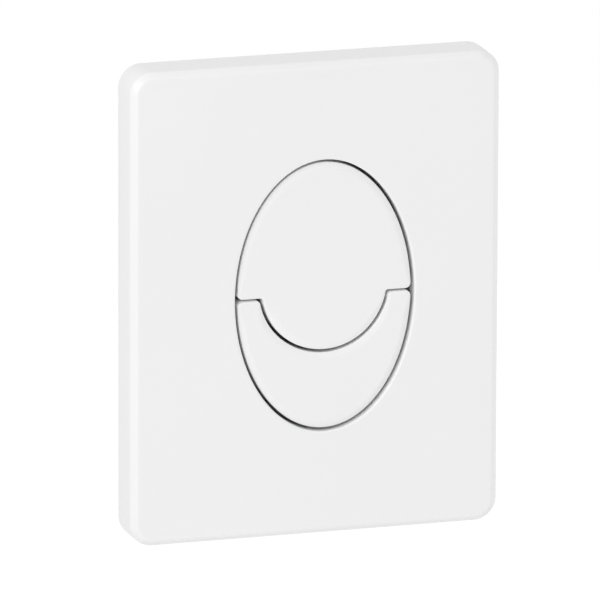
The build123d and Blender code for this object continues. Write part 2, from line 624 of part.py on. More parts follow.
def main():
    left, right = SIDES
    pieces = {
        "cover_plate": cover_plate(),
        "full_flush_button": full_flush_button(),
        "half_flush_button": half_flush_button(),
        "full_flush_buffer_left": full_flush_buffer(left),
        "full_flush_buffer_right": full_flush_buffer(right),
        "half_flush_buffer": half_flush_buffer(),
        "button_tray": button_tray(),
        "full_flush_hinge_pin": full_flush_hinge_pin(),
        "half_flush_hinge_pin_left": half_flush_hinge_pin(left),
        "half_flush_hinge_pin_right": half_flush_hinge_pin(right),
        "full_flush_pump_cup": pump_cup(FULL_PUMP_Z),
        "half_flush_pump_cup": pump_cup(HALF_PUMP_Z),
        "full_flush_bellows": bellows(FULL_PUMP_Z),
        "half_flush_bellows": bellows(HALF_PUMP_Z),
        "mounting_frame": mounting_frame(),
        "fixing_stud_left": fixing_stud(left),
        "fixing_stud_right": fixing_stud(right),
        "stud_nut_left": stud_nut(left),
        "stud_nut_right": stud_nut(right),
    }
    corners = ("bottom_left", "top_left", "bottom_right", "top_right")
    for corner, (x, z) in zip(corners, screw_places()):
        pieces[f"tray_screw_{corner}"] = tray_screw(x, z)
    os.makedirs("parts", exist_ok=True)
    for name, piece in pieces.items():
        export_step(piece, f"parts/{name}.step")


main()
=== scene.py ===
# %% [markdown]
# # A dual flush plate for a concealed cistern
#
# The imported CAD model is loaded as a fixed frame: every node is already in place, in metres, with the
# plate's front looking along -Y and the wall behind it at Y = 0. This lesson dresses it. The pieces that
# are seen get smooth surfaces worked out with numpy, and everything gets a material made of nodes.

# %% Load the frame
import json

import bmesh
import bpy
import numpy as np
from mathutils import Matrix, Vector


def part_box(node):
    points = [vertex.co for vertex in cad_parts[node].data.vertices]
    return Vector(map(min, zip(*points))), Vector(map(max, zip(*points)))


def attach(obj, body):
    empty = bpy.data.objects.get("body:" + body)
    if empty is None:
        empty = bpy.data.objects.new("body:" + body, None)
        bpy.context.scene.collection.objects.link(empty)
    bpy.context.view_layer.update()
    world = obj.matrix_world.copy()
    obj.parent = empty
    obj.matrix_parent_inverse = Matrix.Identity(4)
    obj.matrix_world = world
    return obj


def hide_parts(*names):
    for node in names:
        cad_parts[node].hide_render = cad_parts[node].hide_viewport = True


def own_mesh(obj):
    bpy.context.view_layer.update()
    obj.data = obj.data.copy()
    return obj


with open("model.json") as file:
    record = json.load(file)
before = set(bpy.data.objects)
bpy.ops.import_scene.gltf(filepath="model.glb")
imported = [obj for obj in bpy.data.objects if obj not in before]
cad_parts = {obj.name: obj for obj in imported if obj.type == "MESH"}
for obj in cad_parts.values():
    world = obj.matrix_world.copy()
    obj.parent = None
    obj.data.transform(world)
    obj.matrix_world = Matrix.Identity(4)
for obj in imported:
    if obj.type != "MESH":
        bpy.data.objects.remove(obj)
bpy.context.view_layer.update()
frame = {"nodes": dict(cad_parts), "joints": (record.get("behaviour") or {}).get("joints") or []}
nodes = frame["nodes"]
joints = {joint["name"]: joint for joint in frame["joints"]}

# %% [markdown]
# ## Sizes
#
# All shapes below are worked out in millimetres, and only the finished mesh is scaled to metres. What
# the frame already knows is read from it. The rest are the sizes that a moulder would write on the
# drawing: rounds, walls and gaps. Those that several pieces share are here, and the others stand where they
# are first needed. Ribs, hooks, lugs and pads are sunk into the skin that they stand on by a small seat.

# %% Sizes read from the frame, and sizes that several pieces share
MM = 0.001


def node_box(name):
    """A node's lowest and highest corner in millimetres."""
    low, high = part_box(name)
    return np.array(low) / MM, np.array(high) / MM


plate_low, plate_high = node_box("cover_plate")
PLATE_HALF = (plate_high - plate_low)[[0, 2]] / 2
FRONT_Y = plate_low[1]
SKIN = 2.5
BACK_Y = FRONT_Y + SKIN
OVAL_CENTRE = np.array([3.8, 1.2])
OVAL_HALF = np.array([37.9, 56.5])
EDGE_BREAK = 0.2
SEAT = 0.1
print("plate half size", PLATE_HALF.round(2), "front at", FRONT_Y.round(2))

# %% [markdown]
# ## From arrays to a piece
#
# A piece of the real thing is one moulding, but it is easier to work out as a few closed parts: a shell,
# some ribs, some bosses. Each part is a grid of points, joined by quads. The helpers below turn grids into
# parts and parts into one mesh object. Faces have to point outwards, so each part's volume is measured and a
# part that comes out negative is turned round.


# %% Helpers for grids and pieces
def grid_quads(rows, columns, close_rows=False):
    """Quads of a grid that is closed along its columns and, if asked, along its rows too."""
    row, column = np.meshgrid(np.arange(rows if close_rows else rows - 1), np.arange(columns), indexing="ij")
    below, beside = (row + 1) % rows, (column + 1) % columns
    rows_of, columns_of = (row, row, below, below), (column, beside, beside, column)
    corners = [r * columns + c for r, c in zip(rows_of, columns_of)]
    return np.stack(corners, axis=-1).reshape(-1, 4).tolist()


def hoop_part(rings):
    """A part like a bent hoop: its rings lead round the section and back to the first."""
    rows, columns, _ = rings.shape
    return rings.reshape(-1, 3), grid_quads(rows, columns, close_rows=True)


def capped_part(rings):
    """A part like a lidded tube: its first and last rings are each filled by one flat face."""
    rows, columns, _ = rings.shape
    faces = grid_quads(rows, columns)
    faces += [list(range(columns)), list(range((rows - 1) * columns, rows * columns))]
    return rings.reshape(-1, 3), faces


def prism_part(outline, low, high, axis):
    """An outline in the two other axes, carried straight from low to high along an axis."""
    outline = np.asarray(outline, float)
    rings = np.zeros((2, len(outline), 3))
    rings[:, :, [i for i in range(3) if i != axis]] = outline
    rings[0, :, axis] = low
    rings[1, :, axis] = high
    return capped_part(rings)


def box_part(low, high):
    """A box between two corners, as a prism along Y."""
    outline = [(low[0], low[2]), (high[0], low[2]), (high[0], high[2]), (low[0], high[2])]
    return prism_part(outline, low[1], high[1], axis=1)


def turned_part(profile, x, z, columns=64, closed=True):
    """A (radius, y) profile turned about an axis along Y: x and z are the radius times cosine and sine."""
    radius, y = np.asarray(profile, float).T
    turn = np.linspace(0, 2 * np.pi, columns, endpoint=False)
    rings = np.stack(
        [
            x + radius[:, None] * np.cos(turn),
            np.repeat(y[:, None], columns, axis=1),
            z + radius[:, None] * np.sin(turn),
        ],
        axis=-1,
    )
    return hoop_part(rings) if closed else capped_part(rings)


WELD = 1e-7


def add_piece(name, parts, material, body, replaced, sharp=35.0):
    """One mesh object from closed parts in millimetres, smooth except across edges sharper than the angle."""
    whole = bmesh.new()
    for points, faces in parts:
        loose = bpy.data.meshes.new(name)
        loose.from_pydata((points * MM).tolist(), [], faces)
        part = bmesh.new()
        part.from_mesh(loose)
        bmesh.ops.remove_doubles(part, verts=part.verts, dist=WELD)
        if part.calc_volume(signed=True) < 0:
            bmesh.ops.reverse_faces(part, faces=part.faces)
        part.to_mesh(loose)
        part.free()
        whole.from_mesh(loose)
        bpy.data.meshes.remove(loose)
    mesh = bpy.data.meshes.new(name)
    whole.to_mesh(mesh)
    whole.free()
    mesh.shade_smooth()
    mesh.set_sharp_from_angle(angle=np.radians(sharp))
    mesh.materials.append(material)
    piece = bpy.data.objects.new(name, mesh)
    bpy.context.scene.collection.objects.link(piece)
    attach(piece, body)
    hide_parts(*replaced)
    print(name, len(parts), "parts", len(mesh.polygons), "faces")
    return piece


# %% [markdown]
# ## Finishes
#
# The plate and its buttons are white, glossy, injection-moulded plastic. Up close such a skin isn't a
# mirror: it has a very shallow orange peel from the mould, and its gloss varies a little. A fine noise drives
# the bump and the roughness, and a broad one moves the white by a shade. The hidden mouldings have the
# same recipe in grey with a rougher, spark-eroded surface. Rubber is dark and dusty. Steel is metallic: on
# the drawn pins the noise is stretched along the pin, and on the plated studs and screws it is even.

# %% Materials
RAMP_STOPS = (0.3, 0.7)
BROAD_DETAIL, FINE_DETAIL = 2.0, 3.0


def finish(name, light, dark, rough, patch, grain, relief, metal=0.0, stretch=(1, 1, 1)):
    """A procedural finish.

    Colour is mixed from dark to light by a broad noise, roughness runs over its two values by a fine noise,
    and the same fine noise lifts the surface by the relief, in metres. Patch and grain are the noises' scales
    per metre.
    """
    material = bpy.data.materials.new(name)
    material.use_nodes = True
    tree = material.node_tree
    shader = tree.nodes["Principled BSDF"]
    shader.inputs["Metallic"].default_value = metal
    place = tree.nodes.new("ShaderNodeTexCoord")
    scale = tree.nodes.new("ShaderNodeMapping")
    scale.inputs["Scale"].default_value = stretch
    tree.links.new(place.outputs["Object"], scale.inputs["Vector"])

    def noise(size, detail):
        node = tree.nodes.new("ShaderNodeTexNoise")
        node.inputs["Scale"].default_value = size
        node.inputs["Detail"].default_value = detail
        tree.links.new(scale.outputs["Vector"], node.inputs["Vector"])
        return node.outputs["Fac"]

    broad, fine = noise(patch, BROAD_DETAIL), noise(grain, FINE_DETAIL)
    colour = tree.nodes.new("ShaderNodeValToRGB")
    for stop, share, shade in zip(colour.color_ramp.elements, RAMP_STOPS, (dark, light)):
        stop.position = share
        stop.color = (*shade, 1)
    tree.links.new(broad, colour.inputs["Fac"])
    tree.links.new(colour.outputs["Color"], shader.inputs["Base Color"])
    sheen = tree.nodes.new("ShaderNodeMapRange")
    sheen.inputs["To Min"].default_value, sheen.inputs["To Max"].default_value = rough
    tree.links.new(fine, sheen.inputs["Value"])
    tree.links.new(sheen.outputs["Result"], shader.inputs["Roughness"])
    bump = tree.nodes.new("ShaderNodeBump")
    bump.inputs["Distance"].default_value = relief
    bump.inputs["Strength"].default_value = 1.0
    tree.links.new(fine, bump.inputs["Height"])
    tree.links.new(bump.outputs["Normal"], shader.inputs["Normal"])
    return material


white_gloss = finish(
    "white_gloss_plastic",
    light=(0.835, 0.835, 0.835),
    dark=(0.825, 0.825, 0.825),
    rough=(0.2, 0.3),
    patch=14,
    grain=900,
    relief=0.000006,
)
grey_moulding = finish(
    "grey_moulding",
    light=(0.44, 0.45, 0.46),
    dark=(0.39, 0.4, 0.41),
    rough=(0.5, 0.66),
    patch=40,
    grain=2600,
    relief=0.00003,
)
black_rubber = finish(
    "black_rubber",
    light=(0.035, 0.035, 0.036),
    dark=(0.022, 0.022, 0.023),
    rough=(0.62, 0.8),
    patch=60,
    grain=3000,
    relief=0.00003,
)
drawn_steel = finish(
    "drawn_steel",
    light=(0.62, 0.62, 0.63),
    dark=(0.5, 0.5, 0.52),
    rough=(0.22, 0.42),
    patch=60,
    grain=900,
    relief=0.000008,
    metal=1.0,
    stretch=(0.2, 1, 1),
)
zinc_steel = finish(
    "zinc_plated_steel",
    light=(0.66, 0.67, 0.68),
    dark=(0.52, 0.53, 0.55),
    rough=(0.28, 0.44),
    patch=90,
    grain=1500,
    relief=0.000008,
    metal=1.0,
)
print("finishes", [m.name for m in (white_gloss, grey_moulding, black_rubber, drawn_steel, zinc_steel)])

# %% [markdown]
# ## The cover plate
#
# The cover is a shallow moulded tray: drafted side walls, a bevelled front edge, a flat face and an oval
# mouth with a collar behind it. A modeller could bevel a box and cut the oval with a boolean, but a boolean
# leaves long thin faces that shade badly. Here one closed section is carried round the plate instead: out
# along the wall, over the bevel, across the face, into the mouth, down the collar and back along the inside.
# The outer rings are rounded rectangles and the inner ones are ovals, and a ray from the oval's centre
# pairs their points, so the flat faces between them are simple strips.


# %% Outlines: a rounded rectangle and an oval, with their outward normals
def rounded_rectangle(half, corner, corner_steps=14, spacing=4.5):
    """Core points and outward normals: a quarter turn about each corner's centre, then a straight side."""
    core_half = half - corner
    signs = np.array([(1, 1), (-1, 1), (-1, -1), (1, -1)])
    core, normal = [], []
    for k, sign in enumerate(signs):
        angle = np.radians(90 * k) + np.linspace(0, np.pi / 2, corner_steps)
        here, there = core_half * sign, core_half * signs[(k + 1) % 4]
        steps = int(np.abs(there - here).max() / spacing)
        along = np.linspace(0, 1, steps + 1)[1:-1, None]
        core += [np.repeat(here[None], corner_steps, axis=0), here + (there - here) * along]
        turned = np.stack([np.cos(angle), np.sin(angle)], axis=-1)
        normal += [turned, np.repeat(turned[-1:], len(along), axis=0)]
    return np.concatenate(core), np.concatenate(normal)


def oval_run(turn, inset):
    """Half axes times the cosine and sine of the turn, moved inwards along the normal by inset."""
    swing = np.stack([np.cos(turn), np.sin(turn)], axis=-1)
    normal = swing * OVAL_HALF[::-1]
    normal /= np.linalg.norm(normal, axis=-1, keepdims=True)
    return OVAL_CENTRE + OVAL_HALF * swing - inset * normal, normal


def level(flat, y):
    """Places flat (x, z) points at depth y, which is one for all of them or one for each."""
    return np.stack([flat[:, 0], np.full(len(flat), y), flat[:, 1]], axis=-1)


PLATE_CORNER = 9.5
plate_core, plate_normal = rounded_rectangle(PLATE_HALF, PLATE_CORNER)
ray = plate_core + PLATE_CORNER * plate_normal - OVAL_CENTRE
oval_turn = np.arctan2(OVAL_HALF[0] * ray[:, 1], OVAL_HALF[1] * ray[:, 0])


def plate_ring(inset, y):
    """The plate's outline, moved inwards by inset, at depth y."""
    return level(plate_core + (PLATE_CORNER - inset) * plate_normal, y)


def mouth_ring(grow, y):
    """The oval mouth, made larger by grow, at depth y."""
    return level(oval_run(oval_turn, -grow)[0], y)


print("points round the plate", len(plate_core))


# %% [markdown]
# The front edge isn't a quarter round. In the photograph a band of even light runs round the plate, with a
# crisp border to the side wall and a soft one to the face: a flat bevel that bends into the face. The
# bend is a parabola, because its slope grows evenly from none to the bevel's and so shows no line. Beside a
# bend, an extra ring holds the flat that follows, so that it is shaded as a flat.

# %% The shell of the cover: one section carried round
PLATE_DRAFT = np.radians(1.0)
SIDE_WALL = 2.2
BEVEL_WIDTH, BEVEL_DEPTH, BEVEL_BLEND = 3.3, 2.6, 1.9
MOUTH_ROUND = 0.9
COLLAR_DEPTH, COLLAR_WALL = 7.5, 1.8
HOLD = 0.5
BEVEL_RINGS, MOUTH_RINGS = 12, 6


def bevel_curve(out, width, depth, blend):
    """Sink of the surface at a way out from the face: the square of the way over the blend, then straight.

    The slope is the depth over the width less half the blend, so that the bevel ends at its depth.
    """
    slope = depth / (width - blend / 2)
    return np.where(out < blend, slope * out**2 / (2 * blend), slope * (out - blend / 2))


def cover_shell():
    """Rings of the section: wall, bevel, face, mouth, collar, back of the skin, inner wall."""
    lean = np.tan(PLATE_DRAFT)
    bevel_y = FRONT_Y + BEVEL_DEPTH
    bevel_inset = -lean * bevel_y
    face_inset = bevel_inset + BEVEL_WIDTH
    collar_y = FRONT_Y + COLLAR_DEPTH
    rings = [plate_ring(0, 0), plate_ring(bevel_inset, bevel_y + EDGE_BREAK)]
    for out in np.linspace(BEVEL_WIDTH - EDGE_BREAK, 0, BEVEL_RINGS):
        sink = bevel_curve(out, BEVEL_WIDTH, BEVEL_DEPTH, BEVEL_BLEND)
        rings.append(plate_ring(face_inset - out, FRONT_Y + sink))
    rings += [plate_ring(face_inset + HOLD, FRONT_Y), mouth_ring(MOUTH_ROUND + HOLD, FRONT_Y)]
    for turn in np.linspace(0, np.pi / 2, MOUTH_RINGS):
        grow, sink = MOUTH_ROUND * (1 - np.sin(turn)), MOUTH_ROUND * (1 - np.cos(turn))
        rings.append(mouth_ring(grow, FRONT_Y + sink))
    rings += [
        mouth_ring(0, FRONT_Y + MOUTH_ROUND + HOLD),
        mouth_ring(0, collar_y),
        mouth_ring(COLLAR_WALL, collar_y),
        mouth_ring(COLLAR_WALL, BACK_Y),
        plate_ring(SIDE_WALL - lean * BACK_Y, BACK_Y),
        plate_ring(SIDE_WALL, 0),
    ]
    return hoop_part(np.stack(rings))


cover_parts = [cover_shell()]
print("points of the cover's shell", len(cover_parts[0][0]))

# %% [markdown]
# Behind the face the moulding has straight ribs, four screw bosses and four snap hooks. They are plain
# forms, so each is a prism or a turned tube that stands on the back of the skin.

# %% Ribs behind the face
RIB_THICK, RIB_HEIGHT = 1.6, 3.5
SIDE_RIB_X, END_RIB_Z = 50.5, 78.5


def rib(x_span, z_span):
    """A rib on the back of the skin: a box between two spans."""
    return box_part((x_span[0], BACK_Y - SEAT, z_span[0]), (x_span[1], BACK_Y + RIB_HEIGHT, z_span[1]))


# The side walls lean in by their draft, so ribs of this reach end inside them.
inner = PLATE_HALF - SIDE_WALL - SEAT
half_rib = np.array([-RIB_THICK, RIB_THICK]) / 2
for side in (-1, 1):
    collar = OVAL_CENTRE + side * (OVAL_HALF + COLLAR_WALL / 2)
    cover_parts += [
        rib(side * SIDE_RIB_X + half_rib, (-inner[1], inner[1])),
        rib((-inner[0], inner[0]), side * END_RIB_Z + half_rib),
        rib(OVAL_CENTRE[0] + half_rib, sorted([collar[1], side * inner[1]])),
        rib(sorted([collar[0], side * inner[0]]), OVAL_CENTRE[1] + half_rib),
    ]
print("cover with ribs", len(cover_parts), "parts")

# %% Screw bosses
BOSS_RADIUS, BOSS_BORE = 3.55, 1.45
HEAD_HEIGHT, FLANGE_THICK = 1.9, 2.5
screw_boxes = {name: node_box(name) for name in sorted(nodes) if name.startswith("tray_screw")}
for low, high in screw_boxes.values():
    x, _, z = (low + high) / 2
    boss_y = high[1] - HEAD_HEIGHT - FLANGE_THICK
    tube = [(BOSS_BORE, BACK_Y), (BOSS_RADIUS, BACK_Y), (BOSS_RADIUS, boss_y), (BOSS_BORE, boss_y)]
    cover_parts.append(turned_part(tube, x, z, columns=40))
print("bosses for", list(screw_boxes))

# %% Snap hooks, and the whole cover
HOOK_X, HOOK_WIDTH, HOOK_THICK, HOOK_GAP, HOOK_TIP = 40.0, 10.0, 1.8, 0.6, 0.4
BARB_FRONT, BARB_LENGTH, BARB_REACH = -6.0, 1.8, 1.0
frame_top = node_box("mounting_frame")[1][2]
arm_z = frame_top + HOOK_GAP
barb_end = BARB_FRONT + BARB_LENGTH
hook_side = np.array(
    [
        (BACK_Y - SEAT, arm_z),
        (BARB_FRONT, arm_z),
        (BARB_FRONT, frame_top - BARB_REACH),
        (barb_end, arm_z),
        (barb_end + HOOK_TIP, arm_z),
        (barb_end + HOOK_TIP, arm_z + HOOK_THICK),
        (BACK_Y - SEAT, arm_z + HOOK_THICK),
    ]
)
for x in (-HOOK_X, HOOK_X):
    for flip in (1, -1):
        ends = x - HOOK_WIDTH / 2, x + HOOK_WIDTH / 2
        cover_parts.append(prism_part(hook_side * (1, flip), *ends, axis=0))

add_piece("moulded_cover", cover_parts, white_gloss, "plate", ["cover_plate"])

# %% [markdown]
# ## The two buttons
#
# Together the buttons fill the oval. The upper one ends in a round tongue, and the lower one is the crescent
# that is left. Their outlines are arcs and a stretch of the oval with rounded corners, so each point has a
# known outward normal, and moving every point along it gives a true parallel outline. That is all a bevelled
# edge needs: the same outline, drawn in step by step while it sinks.

# %% Runs of an outline, and its corners
OVAL_GAP = 1.25
TONGUE_CENTRE = np.array([OVAL_CENTRE[0], 4.9])
NEAR_LEVEL = np.linspace(-0.6, 0.6, 4001)


def arc(centre, radius, start, end, steps, facing=1):
    """Points round a centre between two angles, with normals away from it, or towards it if facing is -1."""
    angle = np.linspace(start, end, steps)
    radial = np.stack([np.cos(angle), np.sin(angle)], axis=-1)
    return centre + radius * radial, facing * radial


def mirrored(runs):
    """Joins the runs of a right-hand half outline and mirrors them about the oval's centre line."""
    points = np.concatenate([run[0] for run in runs])
    normals = np.concatenate([run[1] for run in runs])
    other = points[-2:0:-1] * (-1, 1) + (2 * OVAL_CENTRE[0], 0)
    return np.concatenate([points, other]), np.concatenate([normals, normals[-2:0:-1] * (-1, 1)])


def oval_corner(line_z, radius, side):
    """Centre, oval turn and lean of the corner between the oval and a line: a radius away from both.

    The turn is looked up by height, among turns near the oval's widest level.
    """
    heights = oval_run(NEAR_LEVEL, OVAL_GAP + radius)[0][:, 1]
    turn = np.interp(line_z + side * radius, heights, NEAR_LEVEL)
    centre, normal = oval_run(np.array([turn]), OVAL_GAP + radius)
    return centre[0], turn, np.arctan2(normal[0, 1], normal[0, 0])


def tongue_corner(line_z, radius, reach):
    """Centre of the corner under a line and beside the tongue, and its angle about the tongue's centre."""
    rise = line_z - radius - TONGUE_CENTRE[1]
    centre = TONGUE_CENTRE + (np.sqrt((reach + radius) ** 2 - rise**2), rise)
    return centre, np.arctan2(rise, centre[0] - TONGUE_CENTRE[0])


# %% The two outlines
TONGUE_RADIUS = 26.9
DIVIDER_GAP, TONGUE_GAP = 1.0, 1.3
BUTTON_CORNER, HORN_CORNER, NECK_CORNER = 2.2, 1.8, 1.2
OVAL_STEPS, CORNER_STEPS, NECK_STEPS, TONGUE_STEPS = 70, 14, 12, 60


def full_outline():
    """Top of the oval, a corner, the divider's edge, a hollow neck and the round tongue."""
    line_z = OVAL_CENTRE[1] + DIVIDER_GAP / 2
    corner, turn, lean = oval_corner(line_z, BUTTON_CORNER, 1)
    reach = TONGUE_RADIUS - TONGUE_GAP / 2
    neck, down = tongue_corner(line_z, NECK_CORNER, reach)
    return mirrored(
        [
            oval_run(np.linspace(np.pi / 2, turn, OVAL_STEPS), OVAL_GAP),
            arc(corner, BUTTON_CORNER, lean, -np.pi / 2, CORNER_STEPS),
            arc(neck, NECK_CORNER, np.pi / 2, np.pi + down, NECK_STEPS, facing=-1),
            arc(TONGUE_CENTRE, reach, down, -np.pi / 2, TONGUE_STEPS),
        ]
    )


def half_outline():
    """Bottom of the oval, a corner, the divider's edge, a rounded horn and the hollow for the tongue."""
    line_z = OVAL_CENTRE[1] - DIVIDER_GAP / 2
    corner, turn, lean = oval_corner(line_z, BUTTON_CORNER, -1)
    reach = TONGUE_RADIUS + TONGUE_GAP / 2
    horn, down = tongue_corner(line_z, HORN_CORNER, reach)
    return mirrored(
        [
            oval_run(np.linspace(-np.pi / 2, turn, OVAL_STEPS), OVAL_GAP),
            arc(corner, BUTTON_CORNER, lean, np.pi / 2, CORNER_STEPS),
            arc(horn, HORN_CORNER, np.pi / 2, np.pi + down, NECK_STEPS),
            arc(TONGUE_CENTRE, reach, down, -np.pi / 2, TONGUE_STEPS, facing=-1),
        ]
    )


full_edge, half_edge = full_outline(), half_outline()
print("points round the buttons", len(full_edge[0]), len(half_edge[0]))

# %% Button shells
BUTTON_RECESS, BUTTON_DEPTH = 0.9, 7.1
BUTTON_SKIN, BUTTON_SKIRT = 2.4, 1.6
BUTTON_BEVEL = np.array([2.9, 0.8])
BUTTON_BREAK = np.array([0.9, 0.35])
BEVEL_FADE = 12.0
BUTTON_Y = FRONT_Y + BUTTON_RECESS
SKIN_Y = BUTTON_Y + BUTTON_SKIN
SKIRT_Y = BUTTON_Y + BUTTON_DEPTH


def button_shell(points, normals):
    """Face, bevel, skirt, its rim and its inside; the face and its back are one flat face each.

    The bevel has its full width and depth where the outline is far from the divider, and fades to a broken
    edge at the corners beside it, by the smooth step of the height above or below the divider. A third of its
    width bends into the face.
    """
    away = np.clip(np.abs(points[:, 1] - OVAL_CENTRE[1]) / BEVEL_FADE, 0, 1)
    step = away**2 * (3 - 2 * away)
    width, depth = BUTTON_BREAK[:, None] + (BUTTON_BEVEL - BUTTON_BREAK)[:, None] * step
    rings = []
    for share in np.linspace(0, 1, BEVEL_RINGS):
        out = share * (width - EDGE_BREAK)
        sink = bevel_curve(out, width, depth, width / 3)
        rings.append(level(points - (width - out)[:, None] * normals, BUTTON_Y + sink))
    rings += [
        level(points, BUTTON_Y + depth + EDGE_BREAK),
        level(points, SKIRT_Y),
        level(points - BUTTON_SKIRT * normals, SKIRT_Y),
        level(points - BUTTON_SKIRT * normals, SKIN_Y),
    ]
    return capped_part(np.stack(rings))


full_parts, half_parts = [button_shell(*full_edge)], [button_shell(*half_edge)]
print("points of the buttons' shells", len(full_parts[0][0]), len(half_parts[0][0]))

# %% [markdown]
# Behind each face are the parts that make the button work: lugs that turn on the hinge pins, a round pad that
# squeezes the bellows, and stop tabs that carry the rubber buffers. A lug is a plate with a hole, so it
# is a hoop again: an outline and a circle at its two sides. The hinge's place is read from its joint.

# %% Lugs and pads
LUG_RADIUS, LUG_WIDTH, PIN_BORE = 3.4, 4.0, 1.55
FULL_LUG_OUT = 11.0
HALF_LUG_OUT = (TONGUE_RADIUS + TONGUE_GAP / 2 + OVAL_HALF[0] - OVAL_GAP) / 2
PAD_RADIUS, PAD_PLAY = 5.0, 0.2
TINY = 1e-9


def lug_part(x, y, z, steps=48):
    """Round behind the pin and straight in front of it, down to the skin, with the pin's hole through it."""
    angle = np.linspace(0, 2 * np.pi, steps, endpoint=False)
    back, up = np.cos(angle), np.sin(angle)
    to_side = LUG_RADIUS / np.maximum(np.abs(up), TINY)
    to_skin = (y - SKIN_Y + SEAT) / np.maximum(-back, TINY)
    reach = np.where(back >= 0, LUG_RADIUS, np.minimum(to_side, to_skin))
    rings = []
    for x_side, far in ((-1, reach), (1, reach), (1, PIN_BORE), (-1, PIN_BORE)):
        across = np.full(len(angle), x + x_side * LUG_WIDTH / 2)
        rings.append(np.stack([across, y + far * back, z + far * up], axis=-1))
    return hoop_part(np.stack(rings))


def pad_part(bellows):
    """The pad from the back of the skin to just in front of a bellows."""
    low, high = node_box(bellows)
    x, _, z = (low + high) / 2
    end_y = low[1] - PAD_PLAY
    return turned_part([(PAD_RADIUS, SKIN_Y - SEAT), (PAD_RADIUS, end_y)], x, z, columns=48, closed=False)


full_parts.append(pad_part("full_flush_bellows"))
half_parts.append(pad_part("half_flush_bellows"))
full_hinge = np.array(joints["full_flush_press"]["pos_m"]) / MM
half_hinge = np.array(joints["half_flush_press"]["pos_m"]) / MM
print("hinges at", full_hinge.round(2), half_hinge.round(2))

# %% Stop tabs, and the lugs and tabs in place
STOP_THICK, STOP_MARGIN, STOP_REACH, STOP_LEG, STOP_ROOT = 1.6, 1.0, 5.5, 2.2, 2.0


def span_box(x_span, y_span, z_span):
    """A box from three spans, each in either order."""
    spans = np.sort([x_span, y_span, z_span], axis=1)
    return box_part(spans[:, 0], spans[:, 1])


def stop_parts(buffer, out_x, out_z):
    """A stop: a leg inside the skirt and a tab from it to the buffer's outer edge, behind the buffer."""
    low, high = node_box(buffer)
    spread = STOP_MARGIN * np.array([abs(out_z), 0, abs(out_x)])
    outer = np.where((out_x + out_z) > 0, high, low)
    inner = outer - STOP_REACH * np.array([out_x, 0, out_z])
    leg = inner + STOP_LEG * np.array([out_x, 0, out_z])
    along = 0 if out_x else 2
    parts = []
    leg_y, tab_y = (SKIRT_Y - STOP_ROOT, high[1] + SEAT), (high[1], high[1] + STOP_THICK)
    for far, y_span in ((leg, leg_y), (outer, tab_y)):
        spans = np.stack([low - spread, high + spread], axis=1)
        spans[along] = inner[along], far[along]
        parts.append(span_box(spans[0], y_span, spans[2]))
    return parts


for side, word in ((-1, "left"), (1, "right")):
    full_parts.append(lug_part(OVAL_CENTRE[0] + side * FULL_LUG_OUT, full_hinge[1], full_hinge[2]))
    half_parts.append(lug_part(OVAL_CENTRE[0] + side * HALF_LUG_OUT, half_hinge[1], half_hinge[2]))
    full_parts += stop_parts(f"full_flush_buffer_{word}", side, 0)
half_parts += stop_parts("half_flush_buffer", 0, -1)
print("full button", len(full_parts), "parts, half button", len(half_parts))

# %% [markdown]
# Low ribs stiffen the skins. They start where the bellows needs its room and end in the skirt, so their ends
# follow from the circle of that room, the oval and the tongue's arc.

# %% Ribs behind the buttons, and the whole buttons
BELLOWS_ROOM = 12.0
BUTTON_RIB_HEIGHT = 2.2
into_skirt = OVAL_GAP + BUTTON_SKIRT / 2


def button_rib(x_span, z_span):
    """A low rib on the back of a button's skin: a box between two spans."""
    return span_box(x_span, (SKIN_Y - SEAT, SKIN_Y + BUTTON_RIB_HEIGHT), z_span)


def pump_height(bellows):
    """Height of a pump's axis, from its bellows' box."""
    low, high = node_box(bellows)
    return (low[2] + high[2]) / 2


def oval_reach(offset, along):
    """Half chord of the oval at an offset along its other half axis, less the gap and half the skirt."""
    return OVAL_HALF[along] * np.sqrt(1 - (offset / OVAL_HALF[1 - along]) ** 2) - into_skirt


full_z, half_z = pump_height("full_flush_bellows"), pump_height("half_flush_bellows")
room_at_lug = np.sqrt(BELLOWS_ROOM**2 - FULL_LUG_OUT**2)
tongue_reach = TONGUE_RADIUS - TONGUE_GAP / 2 - BUTTON_SKIRT / 2
tongue_foot = TONGUE_CENTRE[1] - np.sqrt(tongue_reach**2 - FULL_LUG_OUT**2)
crescent_top = TONGUE_CENTRE[1] - TONGUE_RADIUS - TONGUE_GAP / 2 - BUTTON_SKIRT / 2
for side in (-1, 1):
    at_lug = OVAL_CENTRE[0] + side * FULL_LUG_OUT + half_rib
    full_parts += [
        button_rib(at_lug, (full_z + room_at_lug, OVAL_CENTRE[1] + oval_reach(FULL_LUG_OUT, 1))),
        button_rib(at_lug, (full_z - room_at_lug, tongue_foot)),
    ]
    for parts, z in ((full_parts, full_z), (half_parts, half_z)):
        ends = OVAL_CENTRE[0] + side * np.array([BELLOWS_ROOM, oval_reach(z - OVAL_CENTRE[1], 0)])
        parts.append(button_rib(ends, z + half_rib))
crescent_foot = OVAL_CENTRE[1] - OVAL_HALF[1] + into_skirt
half_parts += [
    button_rib(OVAL_CENTRE[0] + half_rib, (half_z + BELLOWS_ROOM, crescent_top)),
    button_rib(OVAL_CENTRE[0] + half_rib, (half_z - BELLOWS_ROOM, crescent_foot)),
]
for word, parts in (("full", full_parts), ("half", half_parts)):
    node = f"{word}_flush_button"
    add_piece(f"{word}_flush_cap", parts, white_gloss, f"{word}_button", [node])
